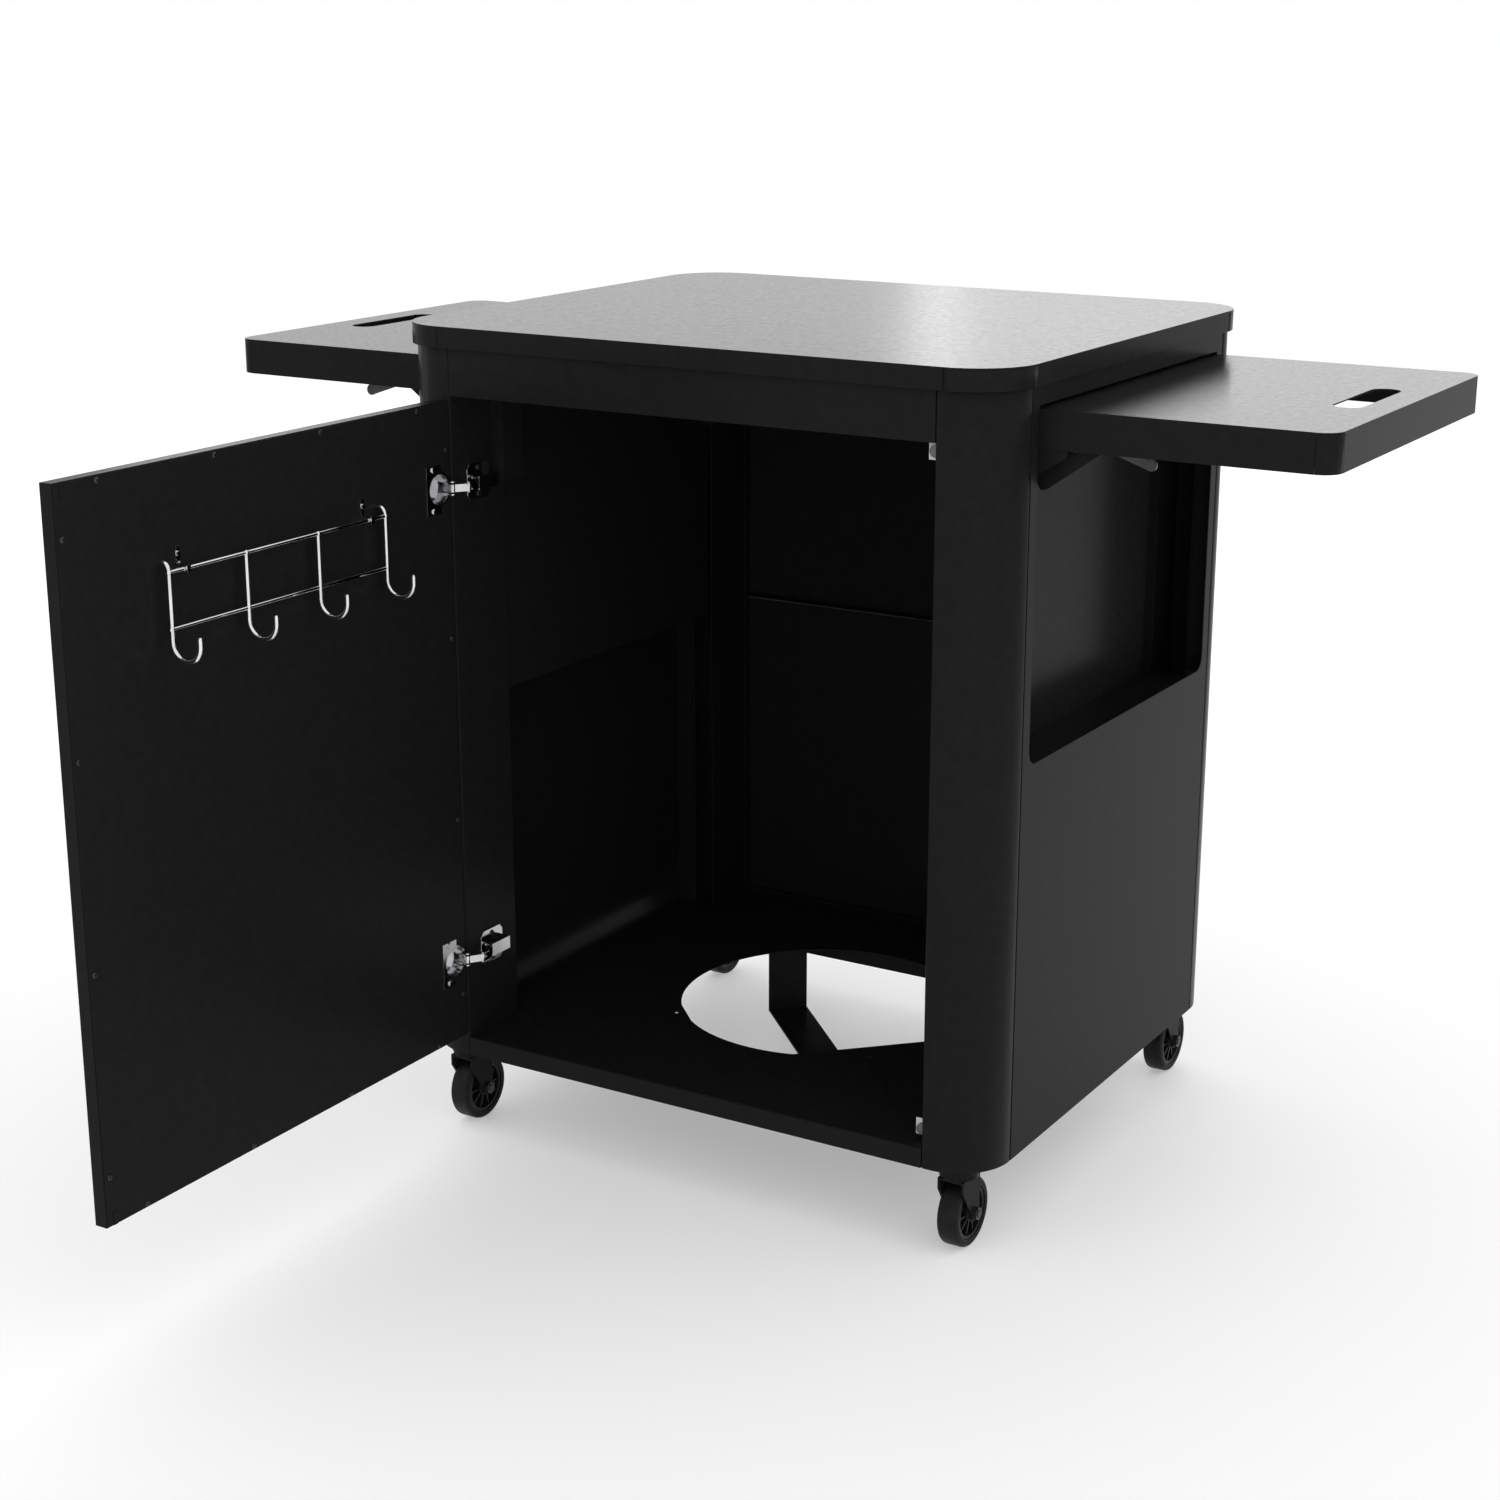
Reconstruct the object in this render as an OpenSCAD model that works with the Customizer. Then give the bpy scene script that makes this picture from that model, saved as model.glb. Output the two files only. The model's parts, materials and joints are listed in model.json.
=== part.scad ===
// Kitchen island cart in folded sheet steel.
// Frame: +X to the right along the front, -Y towards the front, +Z up.
// The origin lies on the floor below the middle of the cabinet.
// The door is drawn open and both side shelves are drawn raised.

/* [Cabinet] */
// Width across the two side panels
cabinet_w = 713.2; // [712:0.1:716]
// Depth from the closed door to the back panel
cabinet_d = 610.2; // [609:0.1:613]
// Height of the underside of the cabinet
cabinet_z = 96.5; // [96:0.5:98]
// Height of the working surface
counter_h = 914; // [912:1:920]
// Thickness of the folded sheet
sheet = 1.5; // [1.2:0.1:1.6]
// Outer radius of the four corner posts
post_r = 60.6; // [58:0.1:60.6]
// Half width of the door opening
jamb_x = 286.2; // [286:0.1:287]

/* [Table top] */
// Width of the table top
top_w = 724; // [722:1:728]
// Depth of the table top
top_d = 621; // [619:1:625]
// Height of its folded rim
top_rim = 22.4; // [20:0.1:26]
// Corner radius of the rim
top_r = 66; // [62:1:68]

/* [Gas cylinder hole] */
// Radius of the hole in the floor
tank_r = 167; // [160:1:170]
// Width of the sling strap below the hole
strap_w = 48; // [30:1:60]
// Height of the sling above the ground
strap_z = 40; // [30:1:60]

/* [Door] */
// Thickness of the door
door_t = 16; // [15.5:0.1:16.5]
// Gap between the closed door and its jambs
door_gap = 4; // [3.8:0.1:5]
// Height of the lower edge of the door
door_z0 = 122; // [120:0.5:124]
// Height of the upper edge of the door
door_z1 = 837; // [830:0.5:839]

/* [Hook rack] */
// Diameter of the rack wire
wire_d = 4.6; // [3:0.1:6]
// Spacing of the hooks
hook_pitch = 105; // [80:1:110]
// Radius of a hook at the wire centre
hook_r = 17; // [12:0.5:20]

/* [Side shelves] */
// Length of a shelf
shelf_l = 348; // [330:1:350]
// Depth of a shelf from front to back
shelf_d = 450; // [449:0.5:451]
// Height of the raised shelf
shelf_z = 869; // [868:0.5:869.5]
// Depth of the folded lips
shelf_lip = 38.5; // [34:0.5:40]
// Radius of the outer corners
shelf_r = 20; // [15:1:25]

/* [Casters] */
// Radius of a wheel
wheel_r = 37.5; // [36:0.5:38]
// Width of a wheel
wheel_w = 25; // [20:1:25]
// Swivel axis, distance from the middle of the cabinet to the side
caster_x = 312; // [310:1:314]
// Swivel axis, distance from the middle of the cabinet to the front
caster_y = 269; // [267:1:271]
// Trail of the axle behind the swivel axis
trail = 10; // [0:1:14]

/* [Hidden] */
$fn = 64;
half_w = cabinet_w / 2;
half_d = cabinet_d / 2;
fold_r = 2.5;
seam = 0.5;
top_z = counter_h - sheet;
rim_z = counter_h - top_rim;
post_cx = half_w - post_r;
post_cy = half_d - post_r;
side_y = post_cy - fold_r;
jamb_depth = 70;
jamb_y_low = 213;
opening_z0 = 117.9;
opening_z1 = 841.2;
floor_z = 118;
base_y = 172.5;
back_seam_z = 510;

// Window for a side shelf, and the recess behind it with a pocket for each arm
window_y = shelf_d / 2 + 1.5;
window_z0 = 514.5;
window_z1 = shelf_z + 2.5;
window_r = 15;
tray_x = 290;
tray_y = 212;
tray_z = 503;
tray_top = 748;
tray_flange_x = 302;
pocket_x = 269.5;
pocket_y = 200;
pocket_z = 742;

// Door hinge: the stand-in axis and the pivots of the links around it
door_half = jamb_x - door_gap;
hinge_axis = [-jamb_x - 6.95, -half_d + 9.05];
hinge_zs = [215.5, 745.5];
arm_reach = 24;
arm_angle = -6;
link_reach = 22;
link_span = 45;
arm_pivot = hinge_axis + arm_reach * [cos(arm_angle), sin(arm_angle)];
cup_pivot_shut = hinge_axis + link_reach * [cos(arm_angle + link_span), sin(arm_angle + link_span)];
cup_pivot_open = hinge_axis + link_reach * [cos(arm_angle - link_span), sin(arm_angle - link_span)];
cup_r = 17.4;
cup_x = -door_half + 21;
door_out_y = -half_d;
door_in_y = -half_d + door_t;
hinge_pin_r = 1.5;

// Hook rack, on the shut door
rack_y = door_in_y + 11.2;
rack_top_z = 736;
rack_low_z = 682;
hook_bottom_z = 653;
hook_count = 4;
eye_x = 134;

// Shelf pivot, with the raised shelf to its right
pivot_x = half_w - 28.95;
pivot_z = shelf_z - 28.95;
shelf_x0 = pivot_x - 26.95;
shelf_x1 = shelf_x0 + shelf_l;
shelf_y = shelf_d / 2;
arm_y_in = 207;
arm_y_out = 221.3;
arm_t = 2;
pin_r = 4;
lever_x = 400;
lever_z = 838;
lever_y = 210.2;
lever_t = 3;
stud_angle = -60;
stud_reach = 23;
quadrant_r = 20;

// Casters
axle_r = 4;
fork_w = wheel_w + 5;
fork_t = 2.5;
plate_t = 2.5;
crown_z = 79.5;
head_z = 86.6;
caster_clear = 0.08;

// ---- Shared shapes -------------------------------------------------------

// Rectangle centred on the origin with round corners
module round_rect(w, d, r) {
    square([w - 2 * r, d], center = true);
    square([w, d - 2 * r], center = true);
    for (x = [-1, 1], y = [-1, 1])
        translate([x * (w / 2 - r), y * (d / 2 - r)])
            circle(r);
}

// Quarter of a bent sheet of outer radius r in the +x +y quadrant
module bend(r) {
    intersection() {
        difference() {
            circle(r);
            circle(r - sheet);
        }
        square(r + 1);
    }
}

// Plate lying in the XZ plane, from an outline drawn in x and z
module xz_plate(y0, thickness) {
    translate([0, y0 + thickness, 0])
        rotate([90, 0, 0])
            linear_extrude(thickness)
                children();
}

module block(x, y, z) {
    translate([x[0], y[0], z[0]])
        cube([x[1] - x[0], y[1] - y[0], z[1] - z[0]]);
}

// Round bar along X, Y or Z
module bar_x(x, y, z, r) {
    translate([x[0], y, z])
        rotate([0, 90, 0])
            cylinder(h = x[1] - x[0], r = r);
}

module bar_y(x, y, z, r) {
    translate([x, y[1], z])
        rotate([90, 0, 0])
            cylinder(h = y[1] - y[0], r = r);
}

module bar_z(x, y, z, r) {
    translate([x, y, z[0]])
        cylinder(h = z[1] - z[0], r = r);
}

module both_x() {
    children();
    mirror([1, 0, 0])
        children();
}

module both_y() {
    children();
    mirror([0, 1, 0])
        children();
}

// ---- Table top -----------------------------------------------------------

module table_top() {
    color("dimgray") {
        translate([0, 0, top_z])
            linear_extrude(sheet)
                round_rect(top_w, top_d, top_r);
        both_y()
            block([-top_w / 2 + top_r + seam, top_w / 2 - top_r - seam],
                  [top_d / 2 - sheet, top_d / 2], [rim_z, top_z]);
        both_x()
            block([top_w / 2 - sheet, top_w / 2],
                  [-top_d / 2 + top_r + seam, top_d / 2 - top_r - seam], [rim_z, top_z]);
    }
}

module top_corner_strips() {
    color("dimgray")
        both_x()
            both_y()
                translate([top_w / 2 - top_r, top_d / 2 - top_r, rim_z])
                    linear_extrude(top_rim - sheet)
                        bend(top_r);
}

// ---- Cabinet shell -------------------------------------------------------

// Outline of a post in the +x +y corner; its inner flange reaches back to flange_y
module post_outline(flange_y) {
    translate([post_cx, post_cy])
        bend(post_r);
    translate([jamb_x + fold_r, half_d - sheet])
        square([post_cx - jamb_x - fold_r, sheet]);
    translate([jamb_x + fold_r, half_d - fold_r])
        mirror([1, 0])
            bend(fold_r);
    translate([jamb_x, flange_y])
        square([sheet, half_d - fold_r - flange_y]);
    translate([half_w - fold_r, post_cy])
        mirror([0, 1])
            bend(fold_r);
    translate([half_w - 26, side_y])
        square([26 - fold_r, sheet]);
}

// The inner flange is cut back above the pocket floor, where the shelf arms swing
module post() {
    color("black") {
        translate([0, 0, cabinet_z])
            linear_extrude(pocket_z - cabinet_z)
                post_outline(jamb_y_low);
        translate([0, 0, pocket_z])
            linear_extrude(top_z - pocket_z)
                post_outline(half_d - jamb_depth);
    }
}

module rear_right_post() {
    post();
}

module rear_left_post() {
    mirror([1, 0, 0])
        post();
}

module front_right_post() {
    mirror([0, 1, 0])
        post();
}

module front_left_post() {
    mirror([1, 0, 0])
        mirror([0, 1, 0])
            post();
}

module front_header() {
    w = jamb_x - seam / 2;
    color("black") {
        block([-w, w], [-half_d, -half_d + sheet], [opening_z1, top_z]);
        block([-w, w], [-half_d + sheet, -half_d + 34], [opening_z1, opening_z1 + sheet]);
        block([-w, w], [-half_d + 34 - sheet, -half_d + 34], [opening_z1 + sheet, opening_z1 + 20]);
        block([-w, w], [-half_d + sheet, -half_d + 34], [top_z - sheet, top_z]);
    }
}

// Channel that carries the floor; it is drawn for the rear
module base_channel(wall_top) {
    w = jamb_x - seam / 2;
    color("black") {
        block([-w, w], [base_y, half_d], [cabinet_z, cabinet_z + sheet]);
        block([-w, w], [base_y, base_y + sheet], [cabinet_z + sheet, floor_z - sheet]);
        block([-w, w], [half_d - sheet, half_d], [cabinet_z + sheet, wall_top]);
    }
}

module front_base_channel() {
    mirror([0, 1, 0])
        base_channel(opening_z0);
}

module rear_base_channel() {
    base_channel(opening_z0);
}

// Window outline in y and z: round lower corners, square upper corners
module window_outline() {
    translate([window_r - window_y, window_z0])
        square([2 * (window_y - window_r), window_r]);
    translate([-window_y, window_z0 + window_r])
        square([2 * window_y, window_z1 - window_z0 - window_r]);
    for (y = [window_r - window_y, window_y - window_r])
        translate([y, window_z0 + window_r])
            circle(window_r);
}

// Side panel at +x: one sheet with the shelf window and folded edges
module side_panel() {
    y1 = side_y - seam;
    color("black") {
        difference() {
            block([half_w - sheet, half_w], [-y1, y1], [cabinet_z, top_z]);
            translate([half_w - sheet - 1, 0, 0])
                rotate([90, 0, 90])
                    linear_extrude(sheet + 2)
                        window_outline();
        }
        both_y()
            block([half_w - 22, half_w - sheet], [y1 - sheet, y1], [cabinet_z, top_z]);
        block([half_w - 22, half_w - sheet], [-y1 + sheet, y1 - sheet], [cabinet_z, cabinet_z + sheet]);
    }
}

module side_panel_right() {
    side_panel();
}

module side_panel_left() {
    mirror([1, 0, 0])
        side_panel();
}

// Pocket that closes the swing of an arm off from the cabinet, at +x +y
module arm_pocket() {
    y1 = half_d - jamb_depth;
    z1 = top_z - 3;
    x1 = pocket_x + sheet;
    wall_y1 = y1 - 0.3;
    wall_y0 = wall_y1 - sheet;
    wall_x1 = jamb_x + 2 * sheet;
    block([pocket_x, x1], [pocket_y - sheet, wall_y1], [pocket_z, z1]);
    block([x1, tray_x + sheet], [pocket_y - sheet, pocket_y], [tray_top, z1]);
    block([x1, tray_x], [pocket_y - sheet, pocket_y], [pocket_z, tray_top]);
    block([x1, wall_x1], [wall_y0, wall_y1], [pocket_z, z1]);
    block([x1, tray_x], [pocket_y, wall_y0], [pocket_z, pocket_z + sheet]);
    block([x1, tray_x], [pocket_y, wall_y0], [z1 - sheet, z1]);
}

// Folded recess behind the shelf window at +x
module side_tray() {
    flange_x0 = tray_x + sheet;
    color("black") {
        block([tray_x, flange_x0], [-tray_y, tray_y], [tray_z, tray_top]);
        block([tray_x, flange_x0], [-pocket_y, pocket_y], [tray_top, top_z - 3]);
        both_y()
            arm_pocket();
        block([flange_x0, half_w - sheet], [-tray_y, tray_y], [tray_z, tray_z + sheet]);
        block([tray_flange_x, half_w - sheet], [-window_y - 2, window_y + 2], [tray_z, tray_z + sheet]);
        block([half_w - 2 * sheet, half_w - sheet], [-window_y - 2, window_y + 2],
              [tray_z + sheet, window_z0 - 1]);
        both_y()
            xz_plate(tray_y - sheet, sheet)
                translate([flange_x0, tray_z + sheet])
                    tray_flange(tray_flange_x - flange_x0, tray_top - tray_z - sheet);
    }
}

// Strip whose outer upper corner is round
module tray_flange(w, h) {
    square([w, h - w]);
    intersection() {
        translate([0, h - w])
            circle(w);
        translate([0, h - w - 1])
            square([w, w + 1]);
    }
}

module side_tray_right() {
    side_tray();
}

module side_tray_left() {
    mirror([1, 0, 0])
        side_tray();
}

// Sheet of the back wall with its edges folded inwards
module back_sheet(z) {
    w = jamb_x - seam / 2;
    flange = 14;
    color("black") {
        block([-w, w], [half_d - sheet, half_d], z);
        both_x()
            block([w - sheet, w], [half_d - flange, half_d - sheet], z);
        for (zz = [z[0], z[1] - sheet])
            block([-w + sheet, w - sheet], [half_d - flange, half_d - sheet], [zz, zz + sheet]);
    }
}

module back_panel_upper() {
    back_sheet([back_seam_z + seam, top_z]);
}

module back_panel_lower() {
    back_sheet([opening_z0 + seam, back_seam_z - seam]);
}

// The hole is round with two flats; x runs towards the front right corner
module floor_panel() {
    flat_right = 148;
    flat_left = 165;
    color("black")
        translate([0, 0, floor_z - sheet])
            linear_extrude(sheet)
                difference() {
                    union() {
                        square([2 * (jamb_x - seam), 2 * (half_d - sheet - seam)], center = true);
                        square([2 * (half_w - 24), 2 * (jamb_y_low - 1)], center = true);
                    }
                    intersection() {
                        circle(tank_r, $fn = 128);
                        rotate(-45)
                            translate([-tank_r, -flat_left])
                                square([tank_r + flat_right, tank_r + flat_left]);
                    }
                    for (x = [-127, 127])
                        translate([x, -122])
                            circle(2.6);
                }
}

// Strap that carries the gas cylinder, hung diagonally below the floor
module tank_sling() {
    x0 = -tank_r - 1;
    x1 = 148.5;
    tab = 22;
    t = 2.5;
    z1 = floor_z - sheet;
    color("black")
        rotate([0, 0, -45]) {
            block([x0 - t, x1 + t], [-strap_w / 2, strap_w / 2], [strap_z, strap_z + t]);
            block([x0 - t, x0], [-strap_w / 2, strap_w / 2], [strap_z + t, z1]);
            block([x1, x1 + t], [-strap_w / 2, strap_w / 2], [strap_z + t, z1]);
            block([x0 - tab, x0 - t], [-strap_w / 2, strap_w / 2], [z1 - t, z1]);
            block([x1 + t, x1 + tab], [-strap_w / 2, strap_w / 2], [z1 - t, z1]);
        }
}

// Thick plates inside the feet of the posts, above the casters
module caster_corner_plates() {
    inner_r = post_r - sheet - seam;
    color("dimgray")
        both_x()
            both_y()
                translate([0, 0, cabinet_z])
                    linear_extrude(3)
                        intersection() {
                            translate([jamb_x + sheet + seam, side_y + sheet + seam])
                                square([70, 62]);
                            union() {
                                translate([post_cx, post_cy])
                                    circle(inner_r);
                                square([post_cx, post_cy + inner_r]);
                            }
                        }
}

module door_catches() {
    color("white")
        for (z = [[821, 837.5], [123, 141]]) {
            block([269, jamb_x - sheet], [-284, -282.5], z);
            block([jamb_x - sheet, jamb_x], [-288, -264], z);
        }
}

module catch_magnets() {
    color("silver")
        for (z = [830, 131])
            bar_y(277.5, [-288, -284], z, 6);
}

// Screws of the back panels, the hinge plates and the sling
module panel_screws() {
    color("dimgray") {
        for (x = [-272, 0, 272], z = [140, 480, 540, 880])
            translate([x, half_d, z])
                rotate([-90, 0, 0])
                    cylinder(h = 1.8, r = 4);
        for (z = hinge_zs, s = [-14, 14])
            translate([-jamb_x + 2, -261, z + s])
                rotate([0, 90, 0])
                    cylinder(h = 1.6, r = 3.2);
    }
}

// ---- Door hinges ---------------------------------------------------------

module hinge_plates() {
    color("silver")
        for (z = hinge_zs)
            translate([-jamb_x, -261, z])
                rotate([90, 0, 90])
                    linear_extrude(2)
                        polygon([[-20, -14], [-15, -19.5], [15, -19.5], [20, -14],
                                 [20, 14], [15, 19.5], [-15, 19.5], [-20, 14]]);
}

// Channel fixed to the plate, with two cheeks that hold the link pin
module hinge_arms() {
    x0 = -jamb_x + 2;
    x1 = x0 + 12;
    y0 = -276;
    y1 = -243;
    half_h = 7.5;
    wall = 1.2;
    cheek_z = 4.3;
    ear_r = 2.8;
    pin_x = arm_pivot[0];
    color("silver")
        for (z = hinge_zs) {
            difference() {
                block([x0, x1], [y0, y1], [z - half_h, z + half_h]);
                block([x0 - 1, x1 - wall], [y0 - 1, y1 - wall], [z - half_h + wall, z + half_h - wall]);
            }
            for (side = [z + cheek_z, z - cheek_z - wall])
                translate([0, 0, side])
                    linear_extrude(wall)
                        difference() {
                            union() {
                                polygon([[pin_x - ear_r, arm_pivot[1]], [pin_x + ear_r, arm_pivot[1]],
                                         [pin_x + ear_r, -290], [x1, y0 - 1], [x1, y0 + 2],
                                         [x0 + 1, y0 + 2], [x0 + 1, y0 - 1], [pin_x - ear_r, -286]]);
                                translate(arm_pivot)
                                    circle(ear_r);
                            }
                            translate(arm_pivot)
                                circle(hinge_pin_r);
                        }
            for (side = [z + cheek_z, z - half_h + wall - 0.2])
                block([x0 + 1, x1], [y0, y0 + 2], [side, side + half_h - wall - cheek_z + 0.2]);
        }
}

module hinge_pins() {
    color("silver")
        for (z = hinge_zs)
            bar_z(arm_pivot[0], arm_pivot[1], [z - 5.8, z + 5.8], hinge_pin_r);
}

// Links between the arm pivot and the cup pivot, drawn for the open door
module hinge_links() {
    dir = cup_pivot_open - arm_pivot;
    length = norm(dir);
    angle = atan2(dir[1], dir[0]);
    color("silver")
        for (z = hinge_zs)
            translate([arm_pivot[0], arm_pivot[1], z - 4])
                rotate([0, 0, angle])
                    linear_extrude(8)
                        difference() {
                            union() {
                                circle(3.2);
                                translate([length, 0])
                                    circle(3.2);
                                translate([0, -2.4])
                                    square([length, 4.8]);
                            }
                            circle(hinge_pin_r + 0.08);
                        }
}

// Turns what is drawn on the shut door to the open door
module on_open_door() {
    translate([hinge_axis[0], hinge_axis[1], 0])
        rotate([0, 0, -90])
            translate([-hinge_axis[0], -hinge_axis[1], 0])
                children();
}

module hinge_cups() {
    wall = 1.1;
    ear_x0 = cup_pivot_shut[0] - 2.9;
    ear_x1 = cup_pivot_shut[0] + 2.9;
    color("silver")
        on_open_door()
            for (z = hinge_zs) {
                difference() {
                    union() {
                        bar_y(cup_x, [door_out_y + sheet + 0.2, door_in_y + 1], z, cup_r);
                        block([cup_x - 3, cup_x + 21], [door_in_y, door_in_y + 1], [z - 26, z + 26]);
                        bar_y(cup_x, [door_in_y, door_in_y + 1], z, cup_r + 1.4);
                    }
                    bar_y(cup_x, [door_out_y + sheet + 1, door_in_y + 2], z, cup_r - wall);
                }
                for (side = [z + 6, z - 7.4])
                    translate([0, 0, side])
                        linear_extrude(1.4) {
                            translate([ear_x0, door_in_y + 0.2])
                                square([ear_x1 - ear_x0, cup_pivot_shut[1] - door_in_y - 0.2]);
                            translate(cup_pivot_shut)
                                circle(2.9);
                        }
                for (side = [-22, 22])
                    bar_y(cup_x + 9, [door_in_y + 1, door_in_y + 2.4], z + side, 3.4);
            }
}

// ---- Door ----------------------------------------------------------------

// Outer skin with folded edges and a return all round
module door_outer_panel() {
    y_in = door_in_y - 1.2;
    ret = 14;
    x1 = door_half;
    color("black")
        on_open_door()
            difference() {
                block([-x1, x1], [door_out_y, y_in], [door_z0, door_z1]);
                block([-x1 + sheet, x1 - sheet], [door_out_y + sheet, y_in - sheet],
                      [door_z0 + sheet, door_z1 - sheet]);
                block([-x1 + ret, x1 - ret], [y_in - sheet - 1, y_in + 1], [door_z0 + ret, door_z1 - ret]);
                for (z = hinge_zs)
                    bar_y(cup_x, [door_out_y + sheet, y_in + 1], z, cup_r + 0.3);
            }
}

module door_inner_panel() {
    margin = 1;
    color("black")
        on_open_door()
            difference() {
                block([-door_half + margin, door_half - margin], [door_in_y - 1.2, door_in_y],
                      [door_z0 + margin, door_z1 - margin]);
                for (z = hinge_zs)
                    bar_y(cup_x, [door_in_y - 2, door_in_y + 1], z, cup_r + 0.3);
            }
}

module door_screws() {
    edge = 7;
    rows = 4;
    row_pitch = (door_z1 - door_z0 - 102) / (rows - 1);
    color("black")
        on_open_door() {
            for (x = [-door_half + edge, door_half - edge], i = [0:rows - 1])
                bar_y(x, [door_in_y, door_in_y + 1.4], door_z0 + 51 + i * row_pitch, 3);
            for (i = [0:3], z = [door_z0 + 5, door_z1 - 5])
                bar_y(-229 + i * 152.7, [door_in_y, door_in_y + 1.4], z, 3);
        }
}

// Steel plates that meet the magnets
module door_strikes() {
    color("silver")
        on_open_door()
            for (z = [822, 123])
                block([269, 274], [door_in_y, door_in_y + 0.7], [z, z + 14]);
}

module door_handle() {
    bar_x0 = 236;
    stand = 30;
    color("silver")
        on_open_door() {
            bar_z(bar_x0, door_out_y - stand, [370, 590], 6);
            for (z = [400, 560])
                bar_y(bar_x0, [door_out_y - stand, door_out_y], z, 4.5);
        }
}

// Hooked end of a wire, turning from straight down to straight up
module j_bend(x) {
    translate([x, rack_y + hook_r, hook_bottom_z + hook_r])
        rotate([0, 90, 0])
            rotate([0, 0, -90])
                rotate_extrude(angle = 180)
                    translate([hook_r, 0])
                        circle(wire_d / 2, $fn = 24);
}

module hook_rack() {
    span = (hook_count - 1) * hook_pitch / 2;
    r = wire_d / 2;
    turn_z = hook_bottom_z + hook_r;
    color("silver")
        on_open_door() {
            for (i = [0:hook_count - 1]) {
                x = -span + i * hook_pitch;
                bar_z(x, rack_y, [turn_z, rack_top_z + (i % 3 == 0 ? 9 : 0)], r);
                j_bend(x);
                bar_z(x, rack_y + 2 * hook_r, [turn_z, turn_z + 8], r);
                translate([x, rack_y + 2 * hook_r, turn_z + 8])
                    sphere(r);
            }
            for (x = [-span, span]) {
                translate([x, rack_y, rack_top_z + 9])
                    sphere(r);
                bar_y(x, [door_in_y, rack_y], rack_top_z + 9, r);
            }
            bar_x([-span, span], rack_y, rack_top_z, r);
            bar_x([-span, span], rack_y - 0.6, rack_low_z, r);
        }
}

// Narrow clips that hold the upper rail, each with a screw
module rack_screws() {
    r_eye = wire_d / 2 + 0.1;
    half = 2.6;
    color("silver")
        on_open_door()
            for (x = [-eye_x, eye_x]) {
                difference() {
                    block([x - half, x + half], [door_in_y, rack_y + 3.6],
                          [rack_top_z - 3.6, rack_top_z + 3.6]);
                    bar_x([x - 4, x + 4], rack_y, rack_top_z, r_eye);
                }
                block([x - half, x + half], [door_in_y, door_in_y + 1.5],
                      [rack_top_z + 3.6, rack_top_z + 20]);
                bar_y(x, [door_in_y + 1.5, door_in_y + 3], rack_top_z + 13, 2.3);
            }
}

// ---- Folding side shelves, drawn at +x -----------------------------------

// Square at the pivot end, round corners at the outer end
module shelf_outline() {
    translate([shelf_x0, -shelf_y])
        square([shelf_l - shelf_r, shelf_d]);
    translate([shelf_x1 - shelf_r, shelf_r - shelf_y])
        square([shelf_r, shelf_d - 2 * shelf_r]);
    for (y = [shelf_r - shelf_y, shelf_y - shelf_r])
        translate([shelf_x1 - shelf_r, y])
            circle(shelf_r);
}

module shelf_pan() {
    z0 = shelf_z - shelf_lip;
    z1 = shelf_z - sheet;
    slot_x = shelf_x1 - 47.7;
    slot_r = 15;
    slot_half = 70;
    color("dimgray") {
        translate([0, 0, z1])
            linear_extrude(sheet)
                difference() {
                    shelf_outline();
                    for (y = [slot_r - slot_half, slot_half - slot_r])
                        translate([slot_x, y])
                            circle(slot_r);
                    translate([slot_x, 0])
                        square([2 * slot_r, 2 * (slot_half - slot_r)], center = true);
                }
        both_y()
            block([shelf_x0, shelf_x1 - shelf_r - 0.3], [shelf_y - sheet, shelf_y], [z0, z1]);
        block([shelf_x1 - sheet, shelf_x1], [-shelf_y + shelf_r + 0.3, shelf_y - shelf_r - 0.3], [z0, z1]);
        block([shelf_x1 - 12, shelf_x1 - sheet], [-shelf_y + shelf_r + 0.3, shelf_y - shelf_r - 0.3],
              [z0, z0 + sheet]);
    }
}

module shelf_corners() {
    color("dimgray")
        both_y()
            translate([shelf_x1 - shelf_r, shelf_y - shelf_r, shelf_z - shelf_lip])
                linear_extrude(shelf_lip - sheet)
                    bend(shelf_r);
}

// Outline of the outer cheek of an arm
module outer_cheek() {
    difference() {
        union() {
            polygon([[pivot_x - 10, shelf_z - 3.2], [pivot_x - 10, pivot_z], [pivot_x - 2, pivot_z - 10],
                     [356, 805.6], [383.5, 822.6], [385, 826], [385, shelf_z - 3.2]]);
            translate([pivot_x, pivot_z])
                circle(12);
        }
        translate([pivot_x, pivot_z])
            circle(pin_r + caster_clear);
    }
}

// Outline of the inner cheek, deeper and longer than the outer one
module inner_cheek() {
    difference() {
        union() {
            polygon([[pivot_x - 10, shelf_z - 3.2], [pivot_x - 10, pivot_z], [pivot_x - 2, pivot_z - 10],
                     [352, 787.5], [358, 788.5], [413, 827.5], [415, 832], [415, shelf_z - 3.2]]);
            translate([pivot_x, pivot_z])
                circle(12);
        }
        translate([pivot_x, pivot_z])
            circle(pin_r + caster_clear);
    }
}

module shelf_arms() {
    web = [shelf_z - 3.2, shelf_z - sheet];
    color("black")
        both_y() {
            xz_plate(arm_y_out, arm_t)
                outer_cheek();
            xz_plate(arm_y_in, arm_t)
                inner_cheek();
            block([pivot_x - 10, 385], [arm_y_in, arm_y_out + arm_t], web);
            block([385, 415], [arm_y_in - 14, arm_y_in + arm_t], web);
            bar_y(lever_x, [arm_y_in + arm_t, lever_y + lever_t + 0.6], lever_z, 3);
            bar_y(lever_x, [lever_y + lever_t + 0.6, lever_y + lever_t + 1.6], lever_z, 5);
        }
}

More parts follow.
